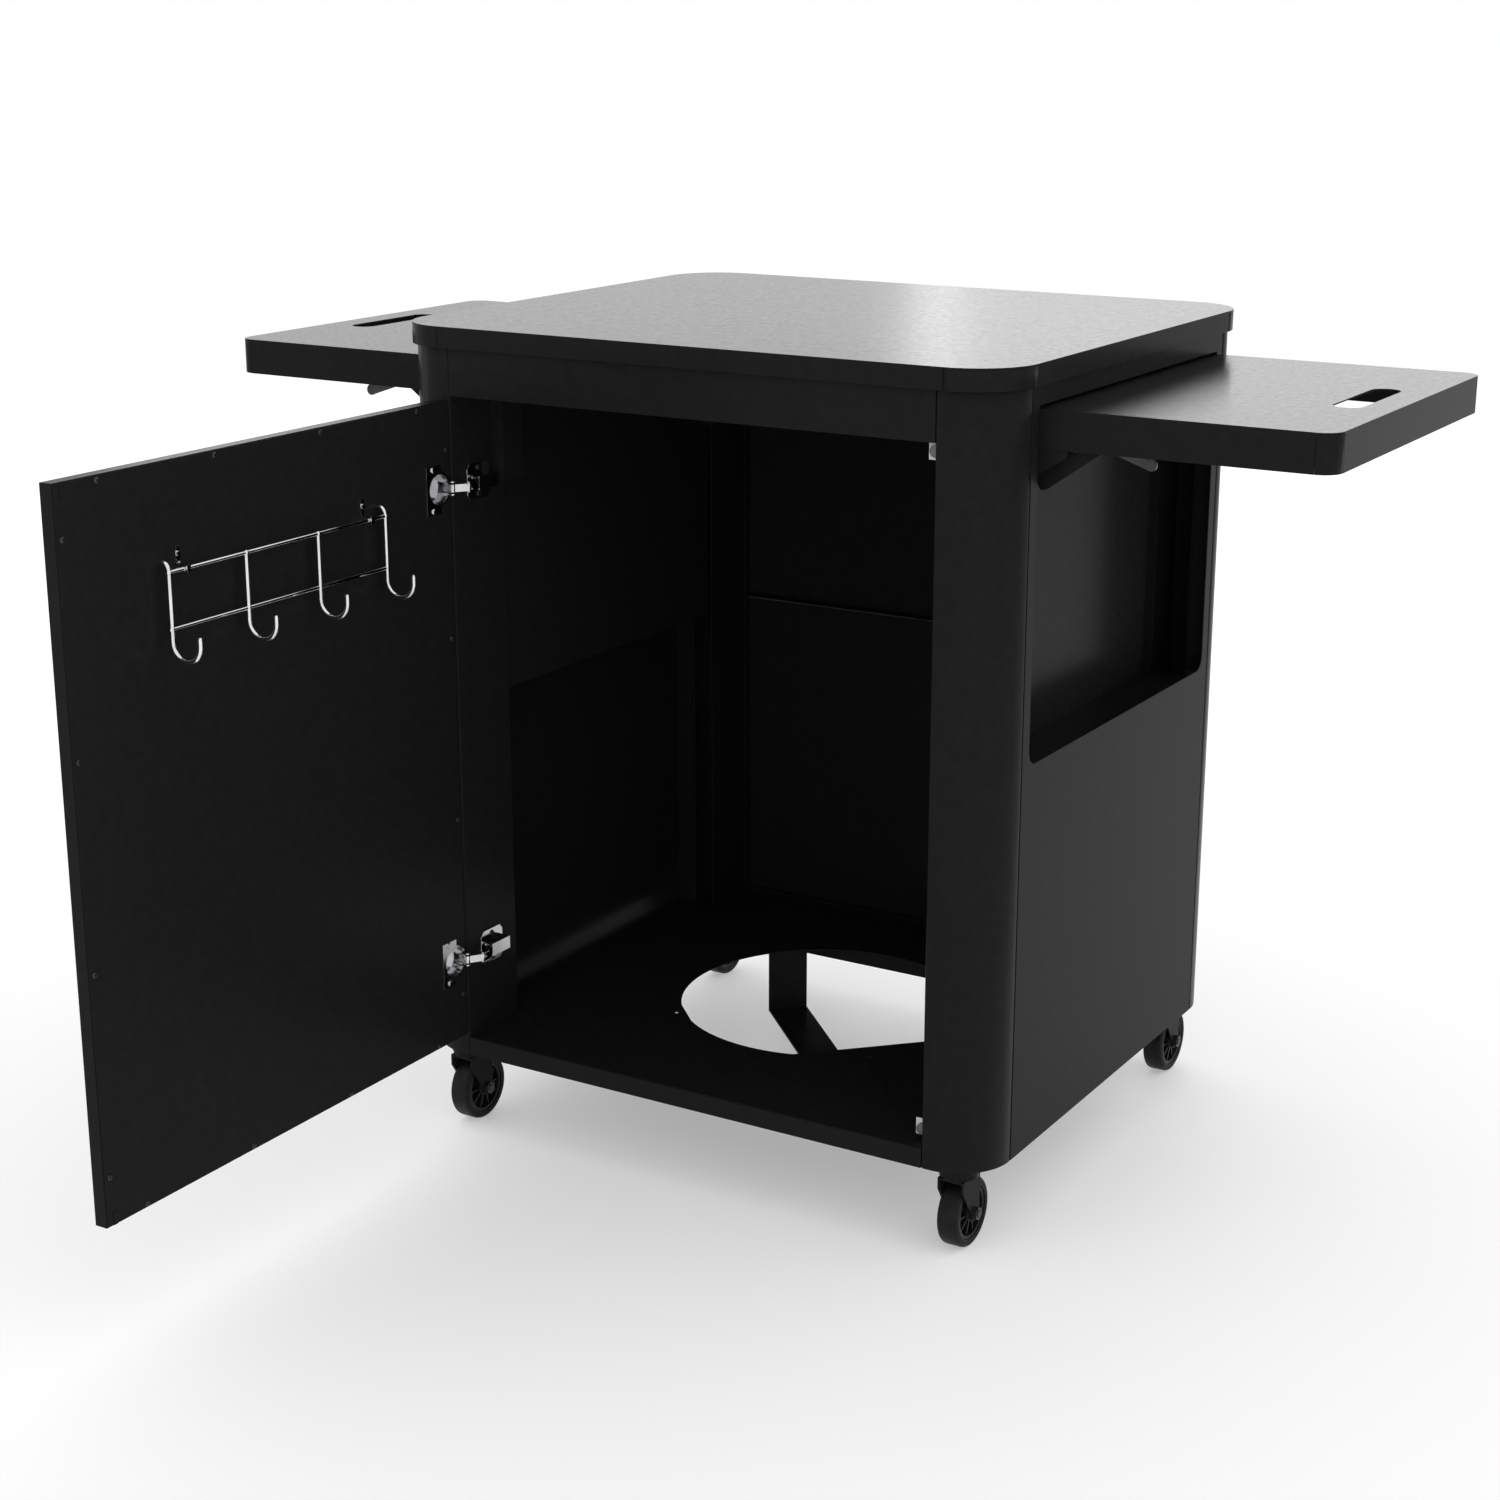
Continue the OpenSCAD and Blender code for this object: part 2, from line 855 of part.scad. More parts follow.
// Sprung lever: the stud holds the shelf up and the round tip releases it
module release_lever() {
    tip = [466, 822.8];
    tip_r = 6;
    stud = [pivot_x + stud_reach * cos(stud_angle), pivot_z + stud_reach * sin(stud_angle)];
    color("dimgray")
        both_y() {
            xz_plate(lever_y, lever_t)
                difference() {
                    union() {
                        polygon([[stud[0], stud[1] - 4], [lever_x, lever_z - 8], [lever_x + 30, lever_z - 9],
                                 [tip[0], tip[1] - tip_r], [tip[0] + 2, tip[1] + 3],
                                 [lever_x + 34, lever_z], [lever_x, lever_z + 8],
                                 [lever_x - 12, lever_z + 4], [stud[0], stud[1] + 4]]);
                        translate(tip)
                            circle(tip_r);
                        translate(stud)
                            circle(4);
                    }
                    translate([lever_x, lever_z])
                        circle(3 + caster_clear);
                }
            bar_y(stud[0], [lever_y + lever_t, 217.4], stud[1], 2.4);
        }
}

module shelf_right() {
    shelf_pan();
}

module shelf_left() {
    mirror([1, 0, 0])
        shelf_pan();
}

module shelf_corners_right() {
    shelf_corners();
}

module shelf_corners_left() {
    mirror([1, 0, 0])
        shelf_corners();
}

module shelf_arms_right() {
    shelf_arms();
}

module shelf_arms_left() {
    mirror([1, 0, 0])
        shelf_arms();
}

module release_lever_right() {
    release_lever();
}

module release_lever_left() {
    mirror([1, 0, 0])
        release_lever();
}

// Brackets on the recess walls, each with a toothed quadrant round the pin
module shelf_brackets() {
    y0 = 214.4;
    t = 3;
    foot_x = tray_x + sheet;
    z0 = pivot_z - 6;
    z1 = pivot_z + 24;
    color("dimgray")
        both_x()
            both_y() {
                block([foot_x, foot_x + 2.5], [180, y0 + t], [z0, z1]);
                xz_plate(y0, t)
                    difference() {
                        union() {
                            translate([foot_x + 2.5, z0])
                                square([pivot_x - foot_x - 2.5, 14]);
                            translate([pivot_x, pivot_z])
                                circle(quadrant_r);
                        }
                        translate([pivot_x, pivot_z])
                            circle(pin_r);
                        for (a = [stud_angle, stud_angle - 90])
                            translate([pivot_x + stud_reach * cos(a), pivot_z + stud_reach * sin(a)])
                                circle(4.2);
                    }
            }
}

module shelf_pins() {
    color("silver")
        both_x()
            both_y() {
                bar_y(pivot_x, [arm_y_in - 0.4, arm_y_out + arm_t], pivot_z, pin_r);
                bar_y(pivot_x, [arm_y_in - 2.6, arm_y_in - 0.4], pivot_z, 7);
            }
}

// ---- Casters -------------------------------------------------------------

module at_caster(sx, sy) {
    translate([sx * caster_x, sy * caster_y, 0])
        children();
}

// Fixed top plates with the upper race and the riveted king pin
module caster_plates() {
    color("silver")
        for (sx = [-1, 1], sy = [-1, 1])
            at_caster(sx, sy) {
                translate([0, 0, cabinet_z - plate_t])
                    linear_extrude(plate_t)
                        round_rect(46, 46, 6);
                difference() {
                    bar_z(0, 0, [head_z, cabinet_z - plate_t], 22);
                    bar_z(0, 0, [head_z - 1, head_z + 2.4], 19);
                }
                bar_z(0, 0, [crown_z - 0.4, head_z + 3], 5);
                bar_z(0, 0, [crown_z - 3, crown_z - 0.4], 7.5);
            }
}

// Crown, lower race and two legs of one fork
module fork(sx, sy) {
    leg_w = 17;
    crown_half = 19;
    color("silver")
        at_caster(sx, sy) {
            difference() {
                union() {
                    block([-fork_w / 2, fork_w / 2], [-crown_half, crown_half], [crown_z, crown_z + fork_t]);
                    bar_z(0, 0, [crown_z + fork_t, head_z - 0.4], 20.5);
                    bar_z(0, 0, [head_z - 0.4, head_z + 2], 18.4);
                }
                bar_z(0, 0, [crown_z - 1, head_z + 3], 5 + caster_clear);
            }
            for (side = [-1, 1])
                translate([side * fork_w / 2 - fork_t / 2 - side * fork_t / 2, 0, 0])
                    rotate([90, 0, 90])
                        linear_extrude(fork_t)
                            difference() {
                                union() {
                                    polygon([[-crown_half, crown_z + fork_t], [crown_half, crown_z + fork_t],
                                             [crown_half, crown_z - 12], [trail + leg_w / 2, wheel_r],
                                             [trail - leg_w / 2, wheel_r], [-crown_half, crown_z - 10]]);
                                    translate([trail, wheel_r])
                                        circle(leg_w / 2);
                                }
                                translate([trail, wheel_r])
                                    circle(axle_r);
                            }
        }
}

// Bolt through both legs with its head and nut outside
module axle(sx, sy) {
    half = fork_w / 2;
    color("silver")
        at_caster(sx, sy) {
            bar_x([-half - 1, half + 5], trail, wheel_r, axle_r);
            bar_x([-half - 4.5, -half], trail, wheel_r, 7);
            translate([half, trail, wheel_r])
                rotate([0, 90, 0])
                    cylinder(h = 4, r = 7.4, $fn = 6);
        }
}

// Spoked centre of the wheel, turning on the axle
module hub(sx, sy) {
    rim_in = wheel_r - 12;
    color("gray")
        at_caster(sx, sy)
            translate([0, trail, wheel_r])
                rotate([0, 90, 0])
                    difference() {
                        union() {
                            cylinder(h = wheel_w - 4, r = wheel_r - 8.2, center = true);
                            cylinder(h = wheel_w - 0.6, r = 9, center = true);
                        }
                        for (side = [-1, 1])
                            translate([0, 0, side * (wheel_w / 2 - 2)])
                                difference() {
                                    cylinder(h = 12, r = rim_in, center = true);
                                    cylinder(h = 14, r = 10, center = true);
                                }
                        cylinder(h = wheel_w + 2, r = axle_r + caster_clear, center = true);
                    }
}

module tyre(sx, sy) {
    inner = wheel_r - 8.2;
    half = wheel_w / 2;
    edge = 4;
    color("black")
        at_caster(sx, sy)
            translate([0, trail, wheel_r])
                rotate([0, 90, 0])
                    rotate_extrude()
                        difference() {
                            translate([inner, -half])
                                square([wheel_r - inner, wheel_w]);
                            for (side = [-1, 1])
                                translate([wheel_r - edge, side * (half - edge)])
                                    difference() {
                                        translate([0, side > 0 ? 0 : -edge - 1])
                                            square([edge + 1, edge + 1]);
                                        circle(edge);
                                    }
                        }
}

module fork_front_left() { fork(-1, -1); }
module fork_front_right() { fork(1, -1); }
module fork_rear_left() { fork(-1, 1); }
module fork_rear_right() { fork(1, 1); }
module axle_front_left() { axle(-1, -1); }
module axle_front_right() { axle(1, -1); }
module axle_rear_left() { axle(-1, 1); }
module axle_rear_right() { axle(1, 1); }
module hub_front_left() { hub(-1, -1); }
module hub_front_right() { hub(1, -1); }
module hub_rear_left() { hub(-1, 1); }
module hub_rear_right() { hub(1, 1); }
module tyre_front_left() { tyre(-1, -1); }
module tyre_front_right() { tyre(1, -1); }
module tyre_rear_left() { tyre(-1, 1); }
module tyre_rear_right() { tyre(1, 1); }

// ---- Nodes ---------------------------------------------------------------

table_top();
top_corner_strips();
front_left_post();
front_right_post();
rear_left_post();
rear_right_post();
front_header();
front_base_channel();
rear_base_channel();
side_panel_left();
side_panel_right();
side_tray_left();
side_tray_right();
back_panel_upper();
back_panel_lower();
floor_panel();
tank_sling();
caster_corner_plates();
caster_plates();
door_catches();
catch_magnets();
panel_screws();
hinge_plates();
hinge_arms();
hinge_pins();
hinge_links();
hinge_cups();
shelf_brackets();
shelf_pins();
door_outer_panel();
door_inner_panel();
door_screws();
door_strikes();
door_handle();
hook_rack();
rack_screws();
shelf_left();
shelf_right();
shelf_corners_left();
shelf_corners_right();
shelf_arms_left();
shelf_arms_right();
release_lever_left();
release_lever_right();
fork_front_left();
fork_front_right();
fork_rear_left();
fork_rear_right();
axle_front_left();
axle_front_right();
axle_rear_left();
axle_rear_right();
hub_front_left();
hub_front_right();
hub_rear_left();
hub_rear_right();
tyre_front_left();
tyre_front_right();
tyre_rear_left();
tyre_rear_right();
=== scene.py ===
"""Looks of the kitchen island cart: camera, studio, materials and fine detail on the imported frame."""

import json
import math

import bmesh
import bpy
from mathutils import Matrix, Vector


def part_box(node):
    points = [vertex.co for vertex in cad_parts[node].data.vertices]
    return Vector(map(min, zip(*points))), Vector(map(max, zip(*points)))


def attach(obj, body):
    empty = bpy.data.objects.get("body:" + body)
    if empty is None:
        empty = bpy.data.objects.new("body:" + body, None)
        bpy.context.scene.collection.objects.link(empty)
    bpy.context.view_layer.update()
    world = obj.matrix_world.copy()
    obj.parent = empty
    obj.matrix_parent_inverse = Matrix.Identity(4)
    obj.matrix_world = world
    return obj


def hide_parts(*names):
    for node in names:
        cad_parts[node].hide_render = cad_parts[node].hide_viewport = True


MM = 0.001
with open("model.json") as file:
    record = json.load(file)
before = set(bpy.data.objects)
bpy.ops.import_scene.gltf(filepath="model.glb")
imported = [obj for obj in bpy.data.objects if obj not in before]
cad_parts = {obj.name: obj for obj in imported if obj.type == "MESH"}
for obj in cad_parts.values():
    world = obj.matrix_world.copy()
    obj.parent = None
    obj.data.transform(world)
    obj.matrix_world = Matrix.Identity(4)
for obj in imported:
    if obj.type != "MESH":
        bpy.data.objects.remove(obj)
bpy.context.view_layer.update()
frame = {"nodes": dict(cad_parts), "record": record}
NODES = frame["nodes"]
PLACES = ("front_left", "front_right", "rear_left", "rear_right")
SLOTS = {s["node"]: s["material_slot"] for s in frame["record"]["subparts"]}


# ---- Camera ---------------------------------------------------------------

AZIMUTH = math.radians(31.164)
ELEVATION = math.radians(16.218)
CAMERA_AT = (1.4011, -2.4850, 1.2511)
FOCAL_LENGTH = 62.77


def add_camera():
    data = bpy.data.cameras.new("camera")
    data.lens = FOCAL_LENGTH
    data.sensor_width = 36.0
    data.clip_end = 60
    camera = bpy.data.objects.new("camera", data)
    bpy.context.scene.collection.objects.link(camera)
    camera.location = CAMERA_AT
    camera.rotation_euler = (math.pi / 2 - ELEVATION, 0, AZIMUTH)
    bpy.context.scene.camera = camera


# ---- Materials ------------------------------------------------------------


class Shader:
    """A Principled material with helpers that add procedural detail in the row frame."""

    def __init__(self, name, color, roughness, metallic=0.0):
        self.mat = bpy.data.materials.new(name)
        self.mat.use_nodes = True
        self.tree = self.mat.node_tree
        self.bsdf = self.tree.nodes["Principled BSDF"]
        self.bsdf.inputs["Base Color"].default_value = (*color, 1)
        self.bsdf.inputs["Roughness"].default_value = roughness
        self.bsdf.inputs["Metallic"].default_value = metallic
        self.coords = self.tree.nodes.new("ShaderNodeTexCoord").outputs["Object"]
        self.height = None

    def noise(self, scale, detail=2.0, stretch=(1, 1, 1)):
        mapping = self.tree.nodes.new("ShaderNodeMapping")
        mapping.inputs["Scale"].default_value = stretch
        self.tree.links.new(self.coords, mapping.inputs["Vector"])
        noise = self.tree.nodes.new("ShaderNodeTexNoise")
        noise.inputs["Scale"].default_value = scale
        noise.inputs["Detail"].default_value = detail
        self.tree.links.new(mapping.outputs["Vector"], noise.inputs["Vector"])
        return noise.outputs["Fac"]

    def remap(self, value, low, high):
        node = self.tree.nodes.new("ShaderNodeMapRange")
        node.inputs["From Min"].default_value = 0.3
        node.inputs["From Max"].default_value = 0.7
        node.inputs["To Min"].default_value = low
        node.inputs["To Max"].default_value = high
        self.tree.links.new(value, node.inputs["Value"])
        return node.outputs["Result"]

    def vary_roughness(self, scale, low, high, stretch=(1, 1, 1)):
        field = self.remap(self.noise(scale, 4.0, stretch), low, high)
        self.tree.links.new(field, self.bsdf.inputs["Roughness"])

    def vary_color(self, scale, dark, light, stretch=(1, 1, 1)):
        ramp = self.tree.nodes.new("ShaderNodeValToRGB")
        ramp.color_ramp.elements[0].position = 0.35
        ramp.color_ramp.elements[1].position = 0.65
        ramp.color_ramp.elements[0].color = (*dark, 1)
        ramp.color_ramp.elements[1].color = (*light, 1)
        self.tree.links.new(self.noise(scale, 5.0, stretch), ramp.inputs["Fac"])
        self.tree.links.new(ramp.outputs["Color"], self.bsdf.inputs["Base Color"])

    def bump(self, scale, distance, strength=1.0, stretch=(1, 1, 1), detail=2.0):
        node = self.tree.nodes.new("ShaderNodeBump")
        node.inputs["Distance"].default_value = distance
        node.inputs["Strength"].default_value = strength
        self.tree.links.new(self.noise(scale, detail, stretch), node.inputs["Height"])
        if self.height:
            self.tree.links.new(self.height, node.inputs["Normal"])
        self.height = node.outputs["Normal"]
        self.tree.links.new(self.height, self.bsdf.inputs["Normal"])


def powder_coat(name="powder_coat"):
    """Baked black powder: satin, with fine orange peel and faint cloudiness."""
    tone = 0.012
    s = Shader(name, (tone, tone, tone * 1.05), 0.23)
    s.vary_roughness(160.0, 0.23, 0.27)
    s.vary_color(90.0, (tone * 0.93,) * 3, (tone * 1.07, tone * 1.07, tone * 1.1))
    s.bump(420.0, 0.00022, 0.22)
    s.bump(1500.0, 0.00006, 0.25)
    s.bsdf.inputs["Specular IOR Level"].default_value = 0.03
    return s.mat


def plated(name="nickel_plate"):
    """Bright plated steel with drawing lines and slightly dull patches."""
    s = Shader(name, (0.66, 0.66, 0.67), 0.22, 1.0)
    s.vary_roughness(60.0, 0.07, 0.17)
    s.vary_color(25.0, (0.55, 0.55, 0.56), (0.72, 0.72, 0.73))
    s.bump(300.0, 0.00003, 0.2, (1, 1, 9))
    return s.mat


def chrome(name="chrome_wire"):
    """Polished wire with a faint haze."""
    s = Shader(name, (0.78, 0.78, 0.80), 0.09, 1.0)
    s.vary_roughness(90.0, 0.05, 0.14)
    s.vary_color(30.0, (0.70, 0.70, 0.72), (0.82, 0.82, 0.84))
    s.bump(160.0, 0.00004, 0.2)
    return s.mat


def magnet_steel(name="magnet_face"):
    """Dark ground face of the catch magnets."""
    s = Shader(name, (0.12, 0.12, 0.125), 0.4, 0.8)
    s.vary_roughness(120.0, 0.34, 0.5)
    s.vary_color(70.0, (0.09, 0.09, 0.095), (0.15, 0.15, 0.155))
    s.bump(700.0, 0.00004, 0.3)
    return s.mat


def pale_coat(name="pale_coat"):
    """Pale paint of the catch brackets, slightly uneven."""
    s = Shader(name, (0.62, 0.62, 0.60), 0.4)
    s.vary_roughness(40.0, 0.34, 0.46)
    s.vary_color(30.0, (0.56, 0.56, 0.54), (0.68, 0.68, 0.66))
    s.bump(900.0, 0.00006, 0.3)
    return s.mat


def black_plate(name="black_plate"):
    """Black plating of screws, bolts and levers."""
    s = Shader(name, (0.03, 0.03, 0.031), 0.3, 0.6)
    s.vary_roughness(70.0, 0.24, 0.42)
    s.vary_color(40.0, (0.02, 0.02, 0.021), (0.042, 0.042, 0.043))
    s.bump(800.0, 0.00005, 0.3)
    return s.mat


def moulded_plastic(name="moulded_plastic"):
    """Wheel centre: spark-eroded mould texture."""
    s = Shader(name, (0.005, 0.005, 0.0053), 0.38)
    s.bsdf.inputs["Specular IOR Level"].default_value = 0.2
    s.vary_roughness(80.0, 0.32, 0.46)
    s.vary_color(50.0, (0.0035, 0.0035, 0.0038), (0.0075, 0.0075, 0.008))
    s.bump(1800.0, 0.00008, 0.4)
    return s.mat


def tyre_rubber(name="tyre_rubber"):
    """Tread: matt, with dust that lightens it in patches."""
    s = Shader(name, (0.006, 0.006, 0.006), 0.5)
    s.bsdf.inputs["Specular IOR Level"].default_value = 0.16
    s.vary_roughness(50.0, 0.42, 0.6)
    s.vary_color(65.0, (0.004, 0.004, 0.004), (0.009, 0.0089, 0.0088))
    s.bump(600.0, 0.00015, 0.4)
    s.bump(2400.0, 0.00008, 0.4)
    return s.mat


def make_materials():
    return {
        "black_coat": powder_coat(),
        "plated_steel": plated(),
        "plated_steel_dark": black_plate("lever_plate"),
        "black_plate": black_plate(),
        "chrome_wire": chrome(),
        "white_coat": pale_coat(),
        "magnet": magnet_steel(),
        "black_plastic": moulded_plastic(),
        "tyre_rubber": tyre_rubber(),
    }


def paint(obj, material):
    obj.data.materials.clear()
    obj.data.materials.append(material)


# Nodes whose finish differs from the rest of their slot
FINISHES = {"catch_magnets": "magnet"}

# Widths in mm of the edge rounds that differ from the usual one
USUAL_ROUND = 0.4
EDGE_ROUNDS = {"table_top": 0.6, "shelf_left": 0.6, "shelf_right": 0.6,
               "door_outer_panel": 0.8, "door_inner_panel": 0.3}
WELD_DISTANCE = 0.01 * MM


def finish_cad_nodes():
    """Each CAD node gets its slot's material and a small pressed or machined edge round."""
    for name, obj in NODES.items():
        paint(obj, MATS[FINISHES.get(name, SLOTS[name])])
        weld = obj.modifiers.new("weld", "WELD")
        weld.merge_threshold = WELD_DISTANCE
        bevel = obj.modifiers.new("edge_round", "BEVEL")
        bevel.width = EDGE_ROUNDS.get(name, USUAL_ROUND) * MM
        bevel.segments = 2
        bevel.limit_method = "ANGLE"
        bevel.angle_limit = math.radians(35)
        bevel.harden_normals = True
        bevel.use_clamp_overlap = True


# ---- Mesh helpers ---------------------------------------------------------


def add_piece(name, mesh, body, material, smooth=40):
    obj = bpy.data.objects.new(name, mesh)
    bpy.context.scene.collection.objects.link(obj)
    mesh.shade_smooth()
    mesh.set_sharp_from_angle(angle=math.radians(smooth))
    paint(obj, material)
    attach(obj, body)
    return obj


def mesh_from(name, bm):
    mesh = bpy.data.meshes.new(name)
    bmesh.ops.recalc_face_normals(bm, faces=bm.faces)
    bm.to_mesh(mesh)
    bm.free()
    return mesh


def lathe(bm, profile, steps, place):
    """Turns (radius, height) points round +Z, closed at radius 0, and puts the result at place."""
    rings = []
    for radius, height in profile:
        if radius < 1e-7:
            rings.append([bm.verts.new(place @ Vector((0, 0, height)))])
            continue
        ring = []
        for i in range(steps):
            angle = 2 * math.pi * i / steps
            spot = Vector((radius * math.cos(angle), radius * math.sin(angle), height))
            ring.append(bm.verts.new(place @ spot))
        rings.append(ring)
    for low, high in zip(rings, rings[1:]):
        for i in range(steps):
            j = (i + 1) % steps
            corners = [low[i % len(low)], low[j % len(low)], high[j % len(high)], high[i % len(high)]]
            unique = list(dict.fromkeys(corners))
            if len(unique) > 2:
                bm.faces.new(unique)


def tube(bm, points, radius, sides=16):
    """Round bar along a polyline, with flat caps; rings turn with the path without twist."""
    frames = []
    up = Vector((0, 0, 1))
    for i, point in enumerate(points):
        ahead = points[min(i + 1, len(points) - 1)] - points[max(i - 1, 0)]
        ahead.normalize()
        side = ahead.cross(up)
        if side.length < 0.1:
            side = ahead.cross(frames[-1][2] if frames else Vector((0, 1, 0)))
        side.normalize()
        up = side.cross(ahead).normalized()
        frames.append((point, side, up))
    rings = []
    for point, side, up in frames:
        ring = []
        for k in range(sides):
            angle = 2 * math.pi * k / sides
            ring.append(bm.verts.new(point + radius * (math.cos(angle) * side + math.sin(angle) * up)))
        rings.append(ring)
    for low, high in zip(rings, rings[1:]):
        for k in range(sides):
            m = (k + 1) % sides
            bm.faces.new([low[k], low[m], high[m], high[k]])
    bm.faces.new(rings[0][::-1])
    bm.faces.new(rings[-1])


def arc(centre, start, end, turns, axis):
    """Points from start turning about axis through centre, end included."""
    spoke = start - centre
    full = spoke.angle(end - centre)
    return [centre + Matrix.Rotation(full * i / turns, 3, axis) @ spoke for i in range(turns + 1)]


def axis_frame(point, direction):
    """Matrix that puts +Z of a part along direction at point."""
    return Matrix.Translation(point) @ direction.to_track_quat("Z", "Y").to_matrix().to_4x4()


# ---- Screws ---------------------------------------------------------------

# Turn in radians of each screw's cross from the one before it
TWIST = 0.7


def screw_head(bm, place, radius, height, twist):
    """Domed head with a cross recess, drawn as a ring of faces round a sunk cross."""
    steps = 32
    dome = [(radius * a, height * b) for a, b in ((1, 0), (1, 0.35), (0.9, 0.72), (0.7, 0.93))]
    spun = place @ Matrix.Rotation(twist, 4, "Z")
    lathe(bm, dome, steps, spun)
    rim = list(bm.verts)[-steps:]
    arm = radius * 0.5
    half = radius * 0.13
    cross = [(arm, -half), (arm, half), (half, half), (half, arm), (-half, arm), (-half, half),
             (-arm, half), (-arm, -half), (-half, -half), (-half, -arm), (half, -arm), (half, -half)]
    top = [bm.verts.new(spun @ Vector((x, y, height))) for x, y in cross]
    low = [bm.verts.new(spun @ Vector((x * 0.8, y * 0.8, height * 0.35))) for x, y in cross]
    bm.faces.new(low)
    for i in range(12):
        j = (i + 1) % 12
        bm.faces.new([top[i], top[j], low[j], low[i]])
    edges_in = [bm.edges.get((top[i], top[(i + 1) % 12])) for i in range(12)]
    edges_out = [bm.edges.get((rim[i], rim[(i + 1) % steps])) for i in range(steps)]
    bmesh.ops.triangle_fill(bm, use_beauty=True, edges=edges_in + edges_out)


def screws(name, places, body, material, replaces=None):
    """places holds (point in mm, direction, radius, height)."""
    bm = bmesh.new()
    for i, (point, direction, radius, height) in enumerate(places):
        place = axis_frame(Vector(point) * MM, Vector(direction))
        screw_head(bm, place, radius * MM, height * MM, TWIST * i)
    obj = add_piece(name, mesh_from(name, bm), body, material, 35)
    if replaces:
        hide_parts(replaces)
    return obj


def loose_parts(node):
    """Lowest and highest corner, in mm, of each separate solid of a CAD node."""
    bm = bmesh.new()
    bm.from_mesh(NODES[node].data)
    bmesh.ops.remove_doubles(bm, verts=bm.verts, dist=WELD_DISTANCE)
    seen = set()
    boxes = []
    for first in bm.verts:
        if first in seen:
            continue
        stack = [first]
        seen.add(first)
        part = []
        while stack:
            v = stack.pop()
            part.append(v.co / MM)
            for e in v.link_edges:
                other = e.other_vert(v)
                if other not in seen:
                    seen.add(other)
                    stack.append(other)
        low = Vector([min(p[k] for p in part) for k in range(3)])
        high = Vector([max(p[k] for p in part) for k in range(3)])
        boxes.append((low, high))
    bm.free()
    return boxes


def node_screws(name, node, direction_of, body, material):
    """Screw heads in the places of the plain ones that a CAD node draws."""
    places = []
    for low, high in loose_parts(node):
        direction = Vector(direction_of(low, high))
        k = max(range(3), key=lambda i: abs(direction[i]))
        centre = (low + high) / 2
        centre[k] = low[k] if direction[k] > 0 else high[k]
        across = [high[i] - low[i] for i in range(3) if i != k]
        places.append((centre, direction, max(across) / 2, high[k] - low[k]))
    return screws(name, places, body, material, node)


# ---- Hook rack ------------------------------------------------------------


def build_hook_rack():
    """Chromed wire rack: two rails, four hooks, and end hooks that bend back to the door."""
    low, high = (Vector(c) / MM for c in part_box("hook_rack"))
    r = 2.3
    hook_lip = 6.5
    wire_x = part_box("door_inner_panel")[1][0] / MM + 11.2
    hook_r = (high.x - r - wire_x) / 2
    door_x = low.x
    turn_z = low.z + r + hook_r
    rail_z = (736.0, 682.0)
    end_z = high.z - r
    bend = 8.0
    first, last = low.y + r, high.y - r
    bm = bmesh.new()
    for i in range(4):
        y = first + (last - first) * i / 3
        centre = Vector((wire_x + hook_r, y, turn_z))
        tip = Vector((wire_x + 2 * hook_r, y, turn_z))
        path = arc(centre, Vector((wire_x, y, turn_z)), tip, 20, Vector((0, -1, 0)))
        path.append(tip + Vector((0, 0, hook_lip)))
        if i in (0, 3):
            elbow = Vector((wire_x - bend, y, end_z - bend))
            over = Vector((wire_x - bend, y, end_z))
            down = Vector((wire_x, y, end_z - bend))
            path = [Vector((door_x, y, end_z))] + arc(elbow, over, down, 8, Vector((0, 1, 0))) + path
        else:
            path = [Vector((wire_x, y, rail_z[0] + 1.5))] + path
        tube(bm, [p * MM for p in path], r * MM)
        dome = [(r, 0), (r * 0.8, r * 0.6), (r * 0.4, r * 0.9), (0, r)]
        lathe(bm, [(a * MM, b * MM) for a, b in dome], 16, Matrix.Translation(path[-1] * MM))
    for k, z in enumerate(rail_z):
        x = wire_x - 0.6 * k
        tube(bm, [Vector((x, first, z)) * MM, Vector((x, last, z)) * MM], r * 0.86 * MM)
        for i in range(4):
            y = first + (last - first) * i / 3
            bead = [(0, -3.1), (2.0, -2.2), (2.9, -0.8), (2.9, 0.8), (2.0, 2.2), (0, 3.1)]
            lathe(bm, [(a * MM, b * MM) for a, b in bead], 14,
                  axis_frame(Vector((x, y, z)) * MM, Vector((0, 1, 0))))
    mesh = mesh_from("hook_rack_wire", bm)
    rack = add_piece("hook_rack_wire", mesh, "door", MATS["chrome_wire"], 50)
    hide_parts("hook_rack")


# ---- Casters --------------------------------------------------------------


# Room left between each side of a tread and the fork leg beside it, and the tread's depth on the wheel centre
SIDE_CLEARANCE = 0.6 * MM
TREAD_DEPTH = 8.2 * MM
RIBS = 10
SEAM_DISTANCE = 0.001 * MM


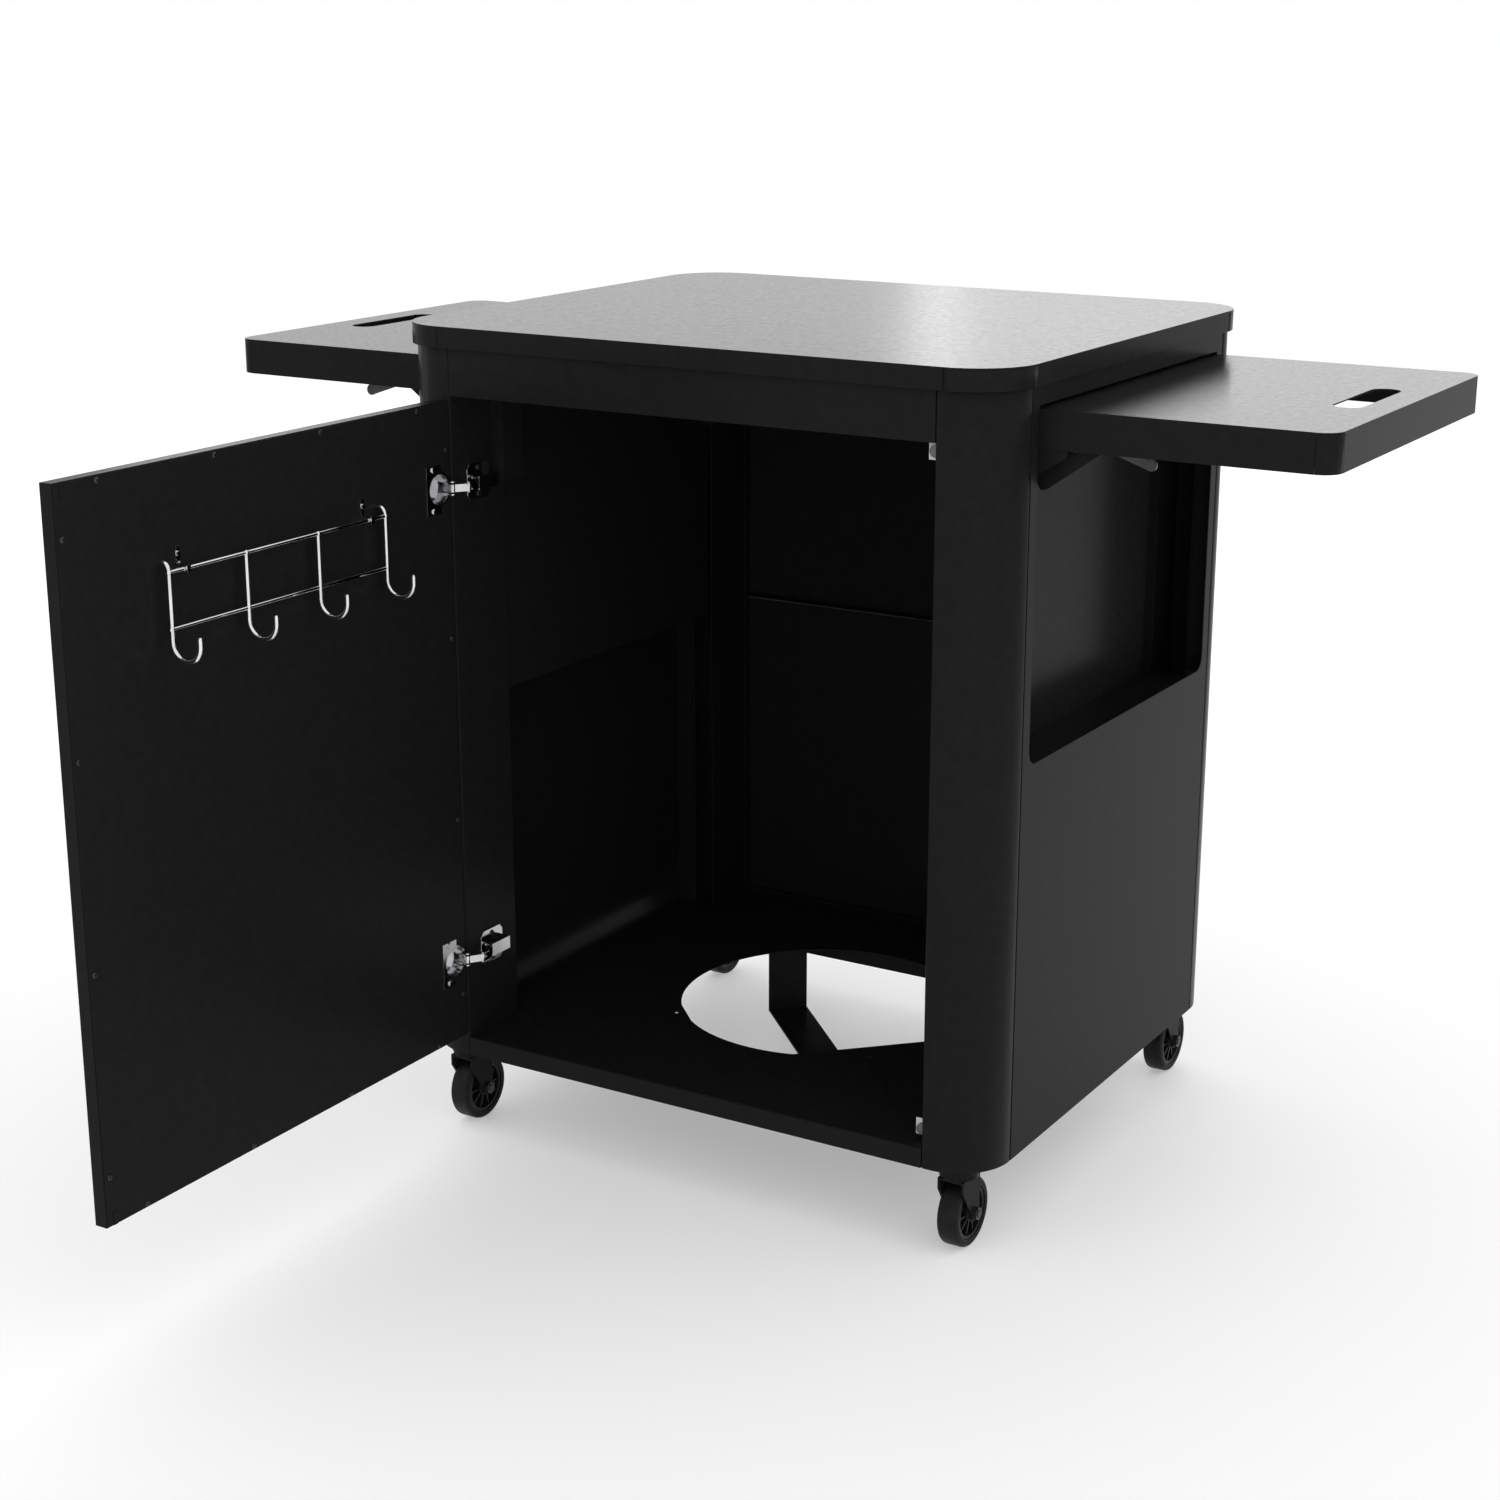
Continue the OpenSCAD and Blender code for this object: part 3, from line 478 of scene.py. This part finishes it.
def build_wheels():
    """Soft tread with a raised band and side grooves, and a ribbed hub."""
    for place in PLACES:
        low, high = (Vector(c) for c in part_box("tyre_" + place))
        centre = (low + high) / 2
        frame_at = axis_frame(centre, Vector((1, 0, 0)))
        radius = (high.z - low.z) / 2
        half = (high.x - low.x) / 2 - SIDE_CLEARANCE
        inner = radius - TREAD_DEPTH
        corner = 4 * MM
        side = [(0, 0.6), (1.2, 0), (2.6, 0), (2.9, 0.5), (3.4, 0.5), (3.7, 0)]
        profile = [(inner + a * MM, -half + b * MM) for a, b in side]
        for i in range(9):
            angle = math.radians(-90 + 90 * i / 8)
            across = -half + corner + corner * math.sin(angle)
            profile.append((radius - corner + corner * math.cos(angle), across))
        upper = [(a, -b) for a, b in reversed(profile)]
        ring = profile + upper
        bm = bmesh.new()
        lathe(bm, ring + [ring[0]], 72, frame_at)
        bmesh.ops.remove_doubles(bm, verts=bm.verts, dist=SEAM_DISTANCE)
        tyre = add_piece("tread_" + place, mesh_from("tread_" + place, bm), "wheel_" + place,
                         MATS["tyre_rubber"], 50)
        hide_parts("tyre_" + place)
        build_hub(place, frame_at, half, inner)


def build_hub(place, frame_at, half, outer):
    """Ribs in the dished sides of the moulded centre."""
    bm = bmesh.new()
    for side in (-1, 1):
        flip = frame_at @ Matrix.Scale(side, 4, Vector((0, 0, 1)))
        for i in range(RIBS):
            turn = flip @ Matrix.Rotation(2 * math.pi * i / RIBS, 4, "Z")
            x0, x1 = 9.4 * MM, outer - 3.6 * MM
            w0, w1 = 1.3 * MM, 0.9 * MM
            z0, z1 = half - 8.2 * MM, half - 3.2 * MM
            low = [bm.verts.new(turn @ Vector(p)) for p in
                   ((x0, -w0, z0), (x1, -w0, z0), (x1, w0, z0), (x0, w0, z0))]
            top = [bm.verts.new(turn @ Vector(p)) for p in
                   ((x0, -w1, z1 + 0.8 * MM), (x1, -w1, z1), (x1, w1, z1), (x0, w1, z1 + 0.8 * MM))]
            bm.faces.new(low[::-1])
            bm.faces.new(top)
            for k in range(4):
                m = (k + 1) % 4
                bm.faces.new([low[k], low[m], top[m], top[k]])
    mesh = mesh_from("hub_ribs_" + place, bm)
    add_piece("hub_ribs_" + place, mesh, "wheel_" + place, MATS["black_plastic"], 30)


# ---- Studio ---------------------------------------------------------------

FLOOR_HALF = 30


def studio():
    """White surroundings and a white floor that is bright enough to hide its edge."""
    world = bpy.data.worlds.new("studio")
    bpy.context.scene.world = world
    world.use_nodes = True
    background = world.node_tree.nodes["Background"]
    background.inputs["Color"].default_value = (1, 1, 1, 1)
    background.inputs["Strength"].default_value = 1.0

    bm = bmesh.new()
    bmesh.ops.create_grid(bm, x_segments=1, y_segments=1, size=FLOOR_HALF)
    floor = bpy.data.objects.new("studio_floor", mesh_from("studio_floor", bm))
    bpy.context.scene.collection.objects.link(floor)
    paper = Shader("studio_paper", (0.7, 0.7, 0.7), 0.95)
    paper.bsdf.inputs["Specular IOR Level"].default_value = 0.0
    paper.bsdf.inputs["Emission Color"].default_value = (1, 1, 1, 1)
    paper.bsdf.inputs["Emission Strength"].default_value = 0.34
    paint(floor, paper.mat)


def soft_light(name, spot, target, size, power):
    data = bpy.data.lights.new(name, "AREA")
    data.shape = "RECTANGLE"
    data.size, data.size_y = size
    data.energy = power
    light = bpy.data.objects.new(name, data)
    bpy.context.scene.collection.objects.link(light)
    light.location = spot
    light.rotation_euler = (Vector(target) - Vector(spot)).to_track_quat("-Z", "Y").to_euler()


# ---- Build ----------------------------------------------------------------

bpy.context.scene.view_settings.view_transform = "Standard"
add_camera()
MATS = make_materials()
finish_cad_nodes()
build_hook_rack()
build_wheels()
node_screws("door_panel_screws", "door_screws", lambda low, high: (1, 0, 0), "door", MATS["black_plate"])
node_screws("cabinet_screws", "panel_screws",
            lambda low, high: (0, 1, 0) if low.y > 200 else (1, 0, 0), "cabinet", MATS["black_plate"])
studio()
soft_light("rear_softbox_left", (-3.6, 4.5, 2.35), (-0.2, 0, 0.9), (2.8, 1.9), 23)
soft_light("rear_softbox_right", (-1.4, 4.9, 2.35), (-0.5, 0, 0.9), (2.1, 1.9), 33)
